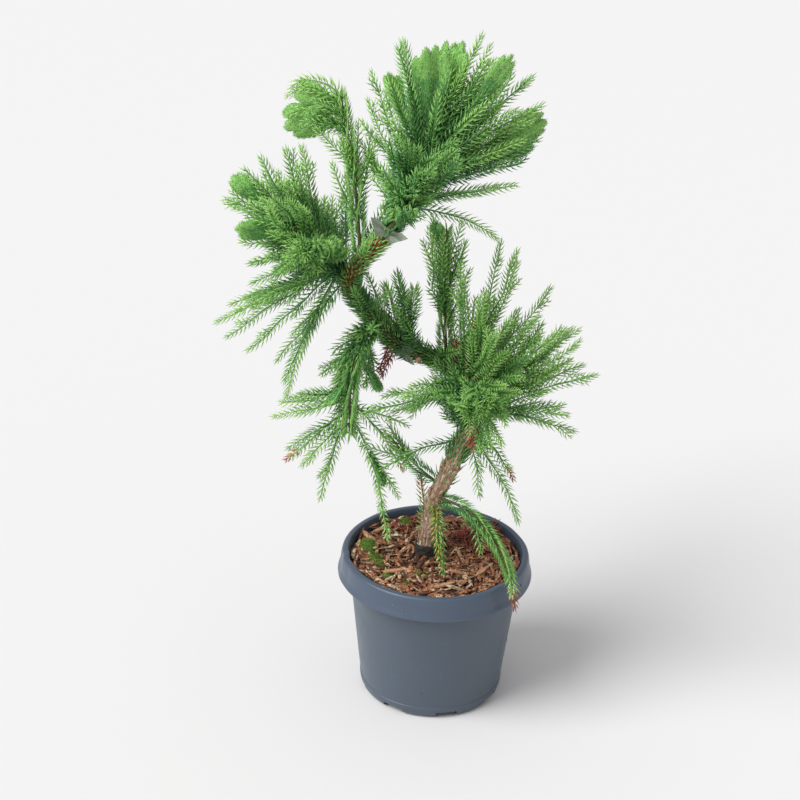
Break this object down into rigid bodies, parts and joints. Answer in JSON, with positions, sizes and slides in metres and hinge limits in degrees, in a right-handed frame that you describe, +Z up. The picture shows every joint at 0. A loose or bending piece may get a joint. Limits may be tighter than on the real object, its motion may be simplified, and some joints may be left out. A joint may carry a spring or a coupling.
{
  "type": "crested cedar spiral topiary in a nursery pot",
  "caption": "Ornamental young crested cedar trained as an open spiral, with cockscomb sprays and weeping shoots, standing in a round plastic nursery pot.",
  "frame": {"origin": "middle of the pot's flat underside", "axes": "+Z up, -Y towards the front of the picture, +X to its right"},
  "size_m": [0.3463, 0.2076, 0.6517],
  "materials": {
    "pot_plastic": "satin moulded polypropylene, blue grey",
    "potting_bark": "moist potting mix under a mulch of bark chips",
    "trunk_bark": "flaky fibrous bark, tan grey",
    "bough_bark": "young bark, orange brown",
    "sleeve_rubber": "dull black sleeve",
    "tie_tape": "thin grey-green stretch tape",
    "foliage": "short curved needles, mid to dark green",
    "crest_foliage": "dense crests of short needles, fresh green"
  },
  "bodies": {
    "root": {"pot": "pot_plastic", "potting_mix": "potting_bark", "trunk": "trunk_bark", "foot_sleeve": "sleeve_rubber", "tie_upper": "tie_tape", "tie_lower": "tie_tape", "left_bough": "bough_bark", "hook_bough": "bough_bark", "weeping_bough": "bough_bark", "tall_bough": "bough_bark", "low_left_bough": "bough_bark", "low_right_bough": "bough_bark", "crown_heart": "foliage", "ball_heart": "foliage", "left_heart": "foliage", "crown_crest": "crest_foliage", "crown_feather": "foliage", "crown_peak": "foliage", "crown_left_high": "foliage", "crown_left_low": "foliage", "crown_ridge": "crest_foliage", "crown_back": "foliage", "crown_right_crest": "crest_foliage", "crown_right_under": "crest_foliage", "crown_right_low": "foliage", "crown_front": "foliage", "hook_crest": "crest_foliage", "hook_plume": "foliage", "left_high": "foliage", "left_knob": "crest_foliage", "left_out": "foliage", "left_paddle": "crest_foliage", "left_spikes": "foliage", "left_low": "foliage", "left_hanging": "foliage", "left_front": "foliage", "left_back": "foliage", "weeping_shoulder": "foliage", "weeping_curtain": "foliage", "weeping_left": "foliage", "weeping_tail": "foliage", "weeping_pot": "foliage", "weeping_back": "foliage", "ball_tall": "crest_foliage", "ball_left_high": "foliage", "ball_upright": "foliage", "ball_fork": "foliage", "ball_right_high": "foliage", "ball_right_front": "foliage", "ball_crest": "crest_foliage", "ball_right": "foliage", "ball_right_low": "foliage", "ball_left": "foliage", "ball_front": "foliage", "ball_back": "foliage", "low_hanging": "foliage", "low_left": "foliage", "low_left_hanging": "foliage", "low_right": "foliage", "low_front": "foliage"}
  },
  "joints": []
}
